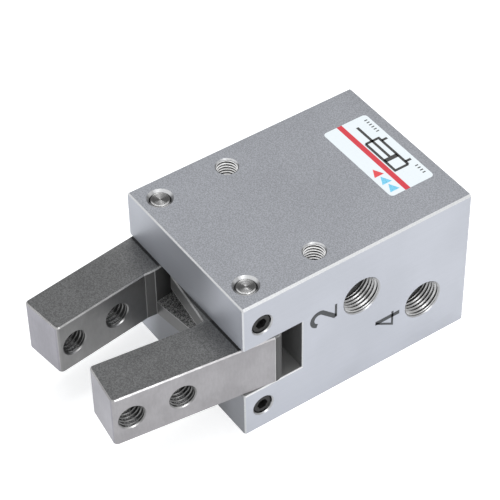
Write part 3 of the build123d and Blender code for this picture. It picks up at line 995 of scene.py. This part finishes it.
def dress(shared: SharedEffects, finish: Finish, *names: str) -> None:
    """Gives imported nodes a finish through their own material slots.

    Args:
        shared: the node groups the finish draws on.
        finish: the finish.
        names: the nodes' names.
    """
    material = finish.material(shared)
    for name in names:
        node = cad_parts[name]
        if not node.material_slots:
            node.data.materials.append(material)
        for slot in node.material_slots:
            slot.link = "OBJECT"
            slot.material = material
        log.info("%s: %s", name, material.name)


@dataclass(frozen=True)
class FaceFrame:
    """A flat face of the housing to draw on: where it starts, and which ways run right, up and out."""

    origin: Point3
    right: Point3
    up: Point3
    out: Point3

    def matrix(self) -> Matrix:
        """The move from drawing coordinates in millimetres to the part in metres."""
        turn = Matrix((self.right, self.up, self.out)).transposed().to_4x4()
        return Matrix.Translation(Vector(self.origin) * MM) @ turn @ Matrix.Scale(MM, 4)


def raised_shapes(name: str, outlines: list[list[Point2]], thickness: float, face: FaceFrame) -> Mesh:
    """Thin flat shapes on a face of the housing.

    Args:
        name: the mesh's name.
        outlines: closed outlines, each anticlockwise as seen from outside.
        thickness: how far they stand off the face, in millimetres.
        face: the face they lie on.

    Returns:
        One mesh with all the shapes.
    """
    shape = bmesh.new()
    for outline in outlines:
        low = [shape.verts.new((x, y, 0.0)) for x, y in outline]
        high = [shape.verts.new((x, y, thickness)) for x, y in outline]
        shape.faces.new(high)
        shape.faces.new(low[::-1])
        for i in range(len(outline)):
            j = (i + 1) % len(outline)
            shape.faces.new((low[i], low[j], high[j], high[i]))
    bmesh.ops.recalc_face_normals(shape, faces=shape.faces)
    mesh = bpy.data.meshes.new(name)
    shape.to_mesh(mesh)
    shape.free()
    mesh.transform(face.matrix())
    return mesh


def arc(centre: Point2, radius: float, start: float, end: float, steps: int = 18) -> list[Point2]:
    """Points along an arc, angles in degrees."""
    angles = [math.radians(start + (end - start) * i / steps) for i in range(steps + 1)]
    return [(centre[0] + radius * math.cos(a), centre[1] + radius * math.sin(a)) for a in angles]


def stroke(path: list[Point2], width: float) -> list[Point2]:
    """The outline of a pen stroke of even width along a path, with square ends.

    Args:
        path: the pen's path.
        width: the pen's width.

    Returns:
        The stroke's closed outline.
    """
    points = [Vector(p) for p in path]
    left, right = [], []
    for i, point in enumerate(points):
        before = (point - points[i - 1]).normalized() if i else None
        after = (points[i + 1] - point).normalized() if i + 1 < len(points) else None
        if before and after:
            middle = (before + after).normalized()
            reach = width / 2 / max(0.35, middle.dot(after))
        else:
            middle, reach = before or after, width / 2
        side = Vector((-middle.y, middle.x)) * reach
        left.append(tuple(point + side))
        right.append(tuple(point - side))
    return right + left[::-1]


def rounded_rectangle(width: float, height: float, radius: float) -> list[Point2]:
    """The outline of a rectangle about the origin with round corners.

    Args:
        width: its size across.
        height: its size upwards.
        radius: its corners' radius.

    Returns:
        The closed outline.
    """
    x, y = width / 2 - radius, height / 2 - radius
    corners = ((x, y, 0), (-x, y, 90), (-x, -y, 180), (x, -y, 270))
    return [p for cx, cy, start in corners for p in arc((cx, cy), radius, start, start + 90, 8)]


# Threads


@dataclass(frozen=True)
class ThreadForm:
    """An inner thread: its sizes in millimetres, and its ridge's as shares of the pitch."""

    radius: float
    pitch: float
    length: float
    root: float = 0.27  # half the ridge's width at the wall
    crest: float = 0.06  # half its width at the top
    depth: float = 0.28
    sunk: float = 0.03  # the ridge's foot inside the wall


class ThreadCutter:
    """Makes the ridges of cut threads with one Geometry Nodes tree, at any number of holes."""

    run_in_turns = 0.9
    steps_per_turn = 56

    def __init__(self) -> None:
        """Builds the tree."""
        self.tree = self._tree()

    @staticmethod
    def _tree() -> NodeTree:
        """A spiral ridge, set at each point of the input and turned down into its hole.

        Returns:
            The group.
        """
        numbers = ("Radius", "Pitch", "Length", "Run In", "Root", "Crest", "Depth", "Sunk")
        takes = {
            "Holes": SocketKind.GEOMETRY,
            **{name: SocketKind.NUMBER for name in numbers},
            "Start Side": SocketKind.VECTOR,
            "Steps": SocketKind.WHOLE,
            "Finish": SocketKind.MATERIAL,
        }
        bench, take = new_group("thread_ridge", "GeometryNodeTree", takes, {"Ridges": SocketKind.GEOMETRY})
        turns = take["Length"] / take["Pitch"]
        spiral_values = {
            "Resolution": take["Steps"],
            "Rotations": turns,
            "Start Radius": take["Radius"],
            "End Radius": take["Radius"],
            "Height": take["Length"],
            "Reverse": True,
        }
        spiral = bench.put("GeometryNodeCurveSpiral", spiral_values)
        upright = bench.put("GeometryNodeSetCurveNormal", {"Curve": spiral[0]}, mode="Z_UP")

        root, crest, depth, sunk = (take["Pitch"] * take[name] for name in ("Root", "Crest", "Depth", "Sunk"))
        inner = depth * -1.0
        section = ((sunk, root * -1.0), (sunk, root), (inner, crest), (inner, crest * -1.0))
        corners = {
            f"Point {i}": bench.put("ShaderNodeCombineXYZ", {"X": off, "Y": high})[0]
            for i, (off, high) in enumerate(section, start=1)
        }
        profile = bench.put("GeometryNodeCurvePrimitiveQuadrilateral", corners, mode="POINTS")

        along = bench.put("GeometryNodeSplineParameter")["Factor"] * turns
        nearest_end = along & (turns - along)
        full = bench.math("DIVIDE", nearest_end, take["Run In"], clamp=True)
        ridge_values = {"Curve": upright[0], "Profile Curve": profile[0], "Scale": full, "Fill Caps": True}
        ridge = bench.put("GeometryNodeCurveToMesh", ridge_values)

        into = bench.put("GeometryNodeInputNamedAttribute", {"Name": "into"}, data_type="FLOAT_VECTOR")
        ways = {"Primary Axis": into[0], "Secondary Axis": take["Start Side"]}
        turned = bench.put("FunctionNodeAxesToRotation", ways, primary_axis="Z", secondary_axis="X")
        placed_values = {"Points": take["Holes"], "Instance": ridge[0], "Rotation": turned[0]}
        placed = bench.put("GeometryNodeInstanceOnPoints", placed_values)
        real = bench.put("GeometryNodeRealizeInstances", {"Geometry": placed[0]})
        flat = bench.put("GeometryNodeSetShadeSmooth", {"Geometry": real[0], "Shade Smooth": False})
        dressed = bench.put("GeometryNodeSetMaterial", {"Geometry": flat[0], "Material": take["Finish"]})
        bench.put("NodeGroupOutput", {"Ridges": dressed[0]})
        return bench.tree

    def cut(
        self, name: str, form: ThreadForm, mouths: list[tuple[Point3, Point3]], finish: Material
    ) -> bpy.types.Object:
        """Makes the ridges of one set of holes.

        Args:
            name: the piece's name.
            form: the thread's sizes.
            mouths: the thread's start on each hole's axis, in millimetres, and the way into the hole.
            finish: the material of the cut metal.

        Returns:
            The piece, a plain mesh.
        """
        starts = bpy.data.meshes.new(f"{name}_starts")
        starts.from_pydata([Vector(place) * MM for place, _ in mouths], [], [])
        ways = starts.attributes.new("into", "FLOAT_VECTOR", "POINT")
        ways.data.foreach_set("vector", [part for _, into in mouths for part in into])
        holder = add_piece(f"{name}_holder", starts)
        modifier = holder.modifiers.new("thread", "NODES")
        modifier.node_group = self.tree
        values = {
            "Radius": form.radius * MM,
            "Pitch": form.pitch * MM,
            "Length": form.length * MM,
            "Run In": self.run_in_turns,
            "Root": form.root,
            "Crest": form.crest,
            "Depth": form.depth,
            "Sunk": form.sunk,
            "Start Side": VIEWER_RISING,
            "Steps": self.steps_per_turn,
            "Finish": finish,
        }
        for item in self.tree.interface.items_tree:
            if item.in_out == "INPUT" and item.name in values:
                modifier[item.identifier] = values[item.name]
        drawn = bpy.context.evaluated_depsgraph_get()
        mesh = bpy.data.meshes.new_from_object(holder.evaluated_get(drawn), depsgraph=drawn)
        mesh.name = name
        holder.modifiers.remove(modifier)
        bpy.data.objects.remove(holder)
        faces = len(mesh.polygons)
        log.info("%s: %d threads of %.2f mm pitch, %d faces", name, len(mouths), form.pitch, faces)
        return add_piece(name, mesh)


# Sub-assemblies


@dataclass
class Housing:
    """The block with its threads, its port numbers and its label."""

    cutter: ThreadCutter
    shared: SharedEffects
    port_form: ThreadForm = ThreadForm(4.865, 0.907, 5.3, root=0.41, depth=0.42)
    wide_form: ThreadForm = ThreadForm(2.5, 0.8, 9.5)
    rear_form: ThreadForm = ThreadForm(2.5, 0.8, 11.5)
    mouth: float = 0.2
    mount_x: float = 16.75
    rear_x: float = 16.995
    rear_z: float = 14.515
    ports: tuple[Point2, ...] = ((8.801, 25.8), (26.405, 14.2))
    mark_thickness: float = 0.015

    def build(self) -> None:
        """Makes and dresses every piece that belongs to the housing."""
        self.dress_nodes()
        self.cut_threads()
        self.mark_ports()
        Label(self.shared).build()

    def dress_nodes(self) -> None:
        """Gives the housing's own nodes their finishes."""
        shared = self.shared
        dress(shared, AnodisedBlock("anodised_block", 0.5, 0.85), "housing")
        cap = TurnedMetal("turned_cap", 0.42, 0.5, colour=grey(0.55, -0.01), rings=3600.0)
        dress(shared, cap, "end_cap", "seal_retainer")
        # rim turns on the painted glints of the shaft ends.
        faced = {"rings": 2400.0, "depth": 0.0002, "rim": 1.85}
        ends = TurnedMetal("turned_shaft_ends", 0.25, 1.0, grey(0.19), TurnedAbout.LEVER_SHAFTS, **faced)
        dress(shared, ends, "right_lever_shaft", "left_lever_shaft")
        black = DarkCoat("black_oxide", 0.6, 0.1, colour=grey(0.004), second=grey(0.012))
        dress(shared, black, "shaft_set_screws", "retaining_ring")
        dress(shared, TurnedMetal("sintered_bronze", 0.45, 0.7, colour=(0.55, 0.36, 0.18)), "rod_bush")
        dress(shared, DarkCoat("seal_rubber", 0.55, 0.0), "cap_seal", "rod_seal")
        bumper = DarkCoat("bumper_rubber", 0.6, 0.0, colour=(0.1, 0.06, 0.04), second=(0.16, 0.1, 0.07))
        dress(shared, bumper, "front_bumper", "rear_bumper")

    def cut_threads(self) -> None:
        """Cuts the port threads and the mounting threads."""
        bright = CutThread("cut_aluminium", 0.3, 0.9, colour=grey(0.95)).material(self.shared)
        # The port threads get a darker grey of the same metal: painted shade in the ports.
        shaded_port_metal = CutThread("cut_port_aluminium", 0.3, 0.9, colour=grey(0.45)).material(self.shared)
        side = HOUSING_HALF_WIDTH - self.mouth
        port_mouths = [((side, y, z), (-1.0, 0.0, 0.0)) for y, z in self.ports]
        wide_mouths = [
            ((x, 0.0, MID_HEIGHT + facing * (MID_HEIGHT - self.mouth)), (0.0, 0.0, -facing))
            for x in (self.mount_x, -self.mount_x)
            for facing in (1.0, -1.0)
        ]
        rear_mouths = [
            ((x, HOUSING_REAR - self.mouth, MID_HEIGHT + z), (0.0, -1.0, 0.0))
            for x in (self.rear_x, -self.rear_x)
            for z in (self.rear_z, -self.rear_z)
        ]
        sets = (
            ("port_threads", self.port_form, port_mouths, shaded_port_metal),
            ("wide_face_threads", self.wide_form, wide_mouths, bright),
            ("rear_face_threads", self.rear_form, rear_mouths, bright),
        )
        for name, form, mouths, metal in sets:
            ridges = self.cutter.cut(name, form, mouths, metal)
            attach(ridges, "housing")

    def mark_ports(self) -> None:
        """Etches a plain number beside each port."""
        ink = Ink("etched_mark", 0.6, 0.0, colour=grey(0.035, -0.1)).material(self.shared)
        for name, number, near_y, low_z in (
            ("front_port_number", PortNumber.TWO, 1.9, 23.4),
            ("rear_port_number", PortNumber.FOUR, 19.7, 11.3),
        ):
            face = FaceFrame((HOUSING_HALF_WIDTH, near_y, low_z), (0, 0, 1), (0, -1, 0), (1, 0, 0))
            mesh = raised_shapes(name, number.outlines(), self.mark_thickness, face)
            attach(add_piece(name, mesh, ink), "housing")
            log.info("%s: %d strokes", name, len(number.outlines()))


class PortNumber(Enum):
    """The numbers beside the ports, each a set of pen paths in millimetres."""

    TWO = "2"
    FOUR = "4"

    def outlines(self) -> list[list[Point2]]:
        """The number's pen strokes, 4.2 mm wide and 6.8 mm high.

        Returns:
            Closed outlines with the number's lower left corner at the origin.
        """
        thin, thick = 0.6, 1.15
        if self is PortNumber.TWO:
            bowl = arc((2.1, 4.85), 1.85, 165.0, -28.0, 22)
            return [stroke([*bowl, (0.35, 0.3)], thick), stroke([(0.15, 0.25), (4.15, 0.25)], thin)]
        slope = [(3.0, 6.7), (0.2, 2.0), (4.3, 2.0)]
        return [stroke(slope, thin), stroke([(3.0, 6.8), (3.0, 0.0)], thick)]


@dataclass
class Label:
    """A white film label with a red band, and plain marks of a double acting cylinder instead of words."""

    shared: SharedEffects
    length: float = 25.8
    width: float = 12.2
    corner: float = 1.0
    middle_y: float = 30.05
    film: float = 0.02
    ink_height: float = 0.006
    pen: float = 0.7

    def build(self) -> None:
        """Makes the film and its printed marks."""
        face = FaceFrame((0.0, self.middle_y, HOUSING_HEIGHT), (-1, 0, 0), (0, -1, 0), (0, 0, 1))
        paper = PrintedFilm("label_film", 0.35, 0.0).material(self.shared)
        outline = rounded_rectangle(self.length, self.width, self.corner)
        film = raised_shapes("label_film", [outline], self.film, face)
        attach(add_piece("label_film", film, paper), "housing")

        top = FaceFrame((0.0, self.middle_y, HOUSING_HEIGHT + self.film), face.right, face.up, face.out)
        for name, tone, colour, outlines in (
            ("label_symbol", "black", grey(0.02), self.cylinder_symbol()),
            ("label_blue_arrows", "blue", (0.16, 0.52, 0.72), self.arrows(-11.6, -8.7)),
            ("label_red_arrow", "red", (0.66, 0.05, 0.06), self.arrows(-5.8)),
        ):
            ink = Ink(f"{tone}_print", 0.4, 0.0, colour).material(self.shared)
            mesh = raised_shapes(name, outlines, self.ink_height, top)
            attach(add_piece(name, mesh, ink), "housing")
            log.info("%s: %d %s shapes", name, len(outlines), tone)

    @staticmethod
    def arrows(*starts: float) -> list[list[Point2]]:
        """Small solid arrow heads in the band above the red line, from where each begins."""
        return [[(x, 2.75), (x + 2.5, 4.05), (x, 5.35)] for x in starts]

    def cylinder_symbol(self) -> list[list[Point2]]:
        """The drawing sign of a double acting cylinder with its two air lines, and a row of travel marks.

        Returns:
            The outlines of its strokes.
        """
        left, right, low, high = -6.5, 4.5, -3.6, 0.1
        barrel = [(left, low), (right, low), (right, high), (left, high), (left, low)]
        rod = [(-2.0, (low + high) / 2), (10.2, (low + high) / 2)]
        air_lines = [[(x, low), (x, low - 1.6)] for x in (left + 1.1, right - 1.1)]
        thin = [stroke(path, self.pen) for path in (barrel[:3], barrel[2:], rod, *air_lines)]
        piston = stroke([(-2.6, low), (-2.6, high)], 1.2)
        mark_spacing = 0.9
        marks = [(start + i * mark_spacing) for start, count in ((-10.6, 4), (6.6, 6)) for i in range(count)]
        return [*thin, piston, *(stroke([(x, -5.3), (x, -4.5)], 0.32) for x in marks)]


@dataclass
class Fingers:
    """The two levers and the threads for their jaws."""

    cutter: ThreadCutter
    shared: SharedEffects
    thread_form: ThreadForm = ThreadForm(3.0, 1.0, 11.0, root=0.2, crest=0.02, depth=0.25)
    mouth: float = 0.35

    def build(self) -> None:
        """Dresses both levers and cuts their threads."""
        # The jaw threads get a dark grey, darker than bare steel: painted shade in their holes.
        metal = CutThread("cut_steel", 0.3, 0.85, colour=grey(0.17)).material(self.shared)
        # Each lever's tongue gets its own share of painted light.
        for name, side, painted_tongue_light in (("right_finger", 1, 0.25), ("left_finger", -1, 0.65)):
            dress(self.shared, FingerSteel(f"{name}_steel", 0.4, 0.9, side, painted_tongue_light), name)
            ridges = self.cutter.cut(f"{name}_threads", self.thread_form, self.mouths(side), metal)
            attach(ridges, name)

    def mouths(self, side: int) -> list[tuple[Point3, Point3]]:
        """Where the threads of one lever start, on its outer face.

        Args:
            side: +1 for the right finger, -1 for the left.

        Returns:
            Each thread's start and the way into the hole.
        """
        sine, cosine = math.sin(CLOSED_ANGLE), math.cos(CLOSED_ANGLE)
        out = FINGER_HALF_WIDTH - self.mouth
        into = (-side * cosine, sine, 0.0)
        places = []
        for reach in JAW_THREAD_REACHES:
            x = side * (PIVOT_X - reach * sine + out * cosine)
            places.append((x, PIVOT_Y - reach * cosine - out * sine, MID_HEIGHT))
        return [(place, into) for place in places]


@dataclass
class PistonGroup:
    """Rod, piston and everything that moves with them."""

    shared: SharedEffects

    def build(self) -> None:
        """Gives the moving pieces inside the cylinder their finishes."""
        shared = self.shared
        dress(shared, TurnedMetal("hard_chrome", 0.14, 1.0, colour=grey(0.72), depth=0.000002), "piston_rod")
        piston = TurnedMetal("turned_piston", 0.34, 0.7, colour=grey(0.68, -0.01), rings=2600.0)
        dress(shared, piston, "piston")
        ground = TurnedMetal("ground_pin", 0.24, 0.9, grey(0.55), TurnedAbout.CENTRE_PIN, depth=0.000004)
        dress(shared, ground, "centre_pin", "upper_roller", "lower_roller")
        dress(shared, DarkCoat("black_screw", 0.38, 0.5), "piston_screw")
        dress(shared, DarkCoat("piston_rubber", 0.55, 0.0), "piston_seal", "rod_gasket")
        magnet = DarkCoat("bonded_magnet", 0.5, 0.3, colour=grey(0.05), second=grey(0.14))
        dress(shared, magnet, "piston_magnet")
        plastic = DarkCoat("wear_plastic", 0.45, 0.0, colour=(0.78, 0.76, 0.7), second=(0.84, 0.82, 0.77))
        dress(shared, plastic, "wear_ring")


# Studio


@dataclass
class Studio:
    """Camera, lamps, white floor sheet and world."""

    shared: SharedEffects
    camera_place: Point3 = (276.255, -191.778, 356.229)
    camera_aim: Point3 = (-8.5, 0.265, 20.0)
    camera_roll: float = -1.134
    lens: float = 150.4
    sensor: float = 36.0
    room_tint: Colour = (0.96, 0.98, 1.0)
    room_strength: float = 0.6
    floor_size: float = 3.0
    floor_gap: float = 0.00005

    def build(self) -> None:
        """Sets the whole studio up."""
        self.set_camera()
        self.lay_floor()
        self.light()
        self.set_world()
        bpy.context.scene.view_settings.view_transform = "Standard"

    def set_camera(self) -> None:
        """Stands the camera where the photograph was taken from."""
        data = bpy.data.cameras.new("photo_camera")
        data.lens, data.sensor_width = self.lens, self.sensor
        data.clip_start, data.clip_end = 0.01, 20.0
        camera = bpy.data.objects.new("photo_camera", data)
        bpy.context.scene.collection.objects.link(camera)
        place = Vector(self.camera_place) * MM
        view = Vector(self.camera_aim) * MM - place
        turn = view.to_track_quat("-Z", "Y").to_matrix().to_4x4()
        roll = Matrix.Rotation(math.radians(self.camera_roll), 4, "Z")
        camera.matrix_world = Matrix.Translation(place) @ turn @ roll
        bpy.context.scene.camera = camera
        log.info("camera: %.1f mm lens", self.lens)

    def lay_floor(self) -> None:
        """Lays the white sheet just under the part."""
        shape = bmesh.new()
        bmesh.ops.create_grid(shape, x_segments=8, y_segments=8, size=self.floor_size)
        mesh = bpy.data.meshes.new("floor_sheet")
        shape.to_mesh(mesh)
        shape.free()
        mesh.transform(Matrix.Translation((0.0, 0.0, -self.floor_gap)))
        paper = StudioPaper("studio_paper", 0.9, 0.0).material(self.shared)
        add_piece("floor_sheet", mesh, paper)

    def light(self) -> None:
        """Hangs two soft boxes, one at the port side and one above."""
        target = Vector((0.0, 0.0, MID_HEIGHT * MM))
        for name, place, size, power in (
            ("port_side_box", (0.75, -0.05, 0.45), 0.35, 2.2),
            ("overhead_box", (-0.1, 0.25, 0.95), 0.5, 3.0),
        ):
            data = bpy.data.lights.new(name, "AREA")
            data.shape, data.size, data.energy = "SQUARE", size, power
            lamp = bpy.data.objects.new(name, data)
            lamp.location = place
            lamp.rotation_euler = (target - Vector(place)).to_track_quat("-Z", "Y").to_euler()
            bpy.context.scene.collection.objects.link(lamp)
            log.info("%s: %.1f W", name, power)

    def set_world(self) -> None:
        """An even pale room, white where it is seen or mirrored."""
        world = bpy.data.worlds.new("pale_room")
        world.use_nodes = True
        world.node_tree.nodes.clear()
        bench = Bench(world.node_tree)
        room = bench.put("ShaderNodeBackground", {"Color": self.room_tint, "Strength": self.room_strength})
        white = bench.put("ShaderNodeBackground", {"Color": (1.0, 1.0, 1.0), "Strength": 1.0})
        mixed = bench.put("ShaderNodeMixShader", {0: bench.seen(), 1: room[0], 2: white[0]})
        bench.put("ShaderNodeOutputWorld", {"Surface": mixed[0]})
        bpy.context.scene.world = world


def main() -> None:
    """Builds the gripper's looks and the studio, in order."""
    logging.basicConfig(level=logging.INFO, format="%(message)s")
    shared = SharedEffects()
    cutter = ThreadCutter()
    Studio(shared).build()
    Housing(cutter, shared).build()
    Fingers(cutter, shared).build()
    PistonGroup(shared).build()


if __name__ == "__main__":
    main()
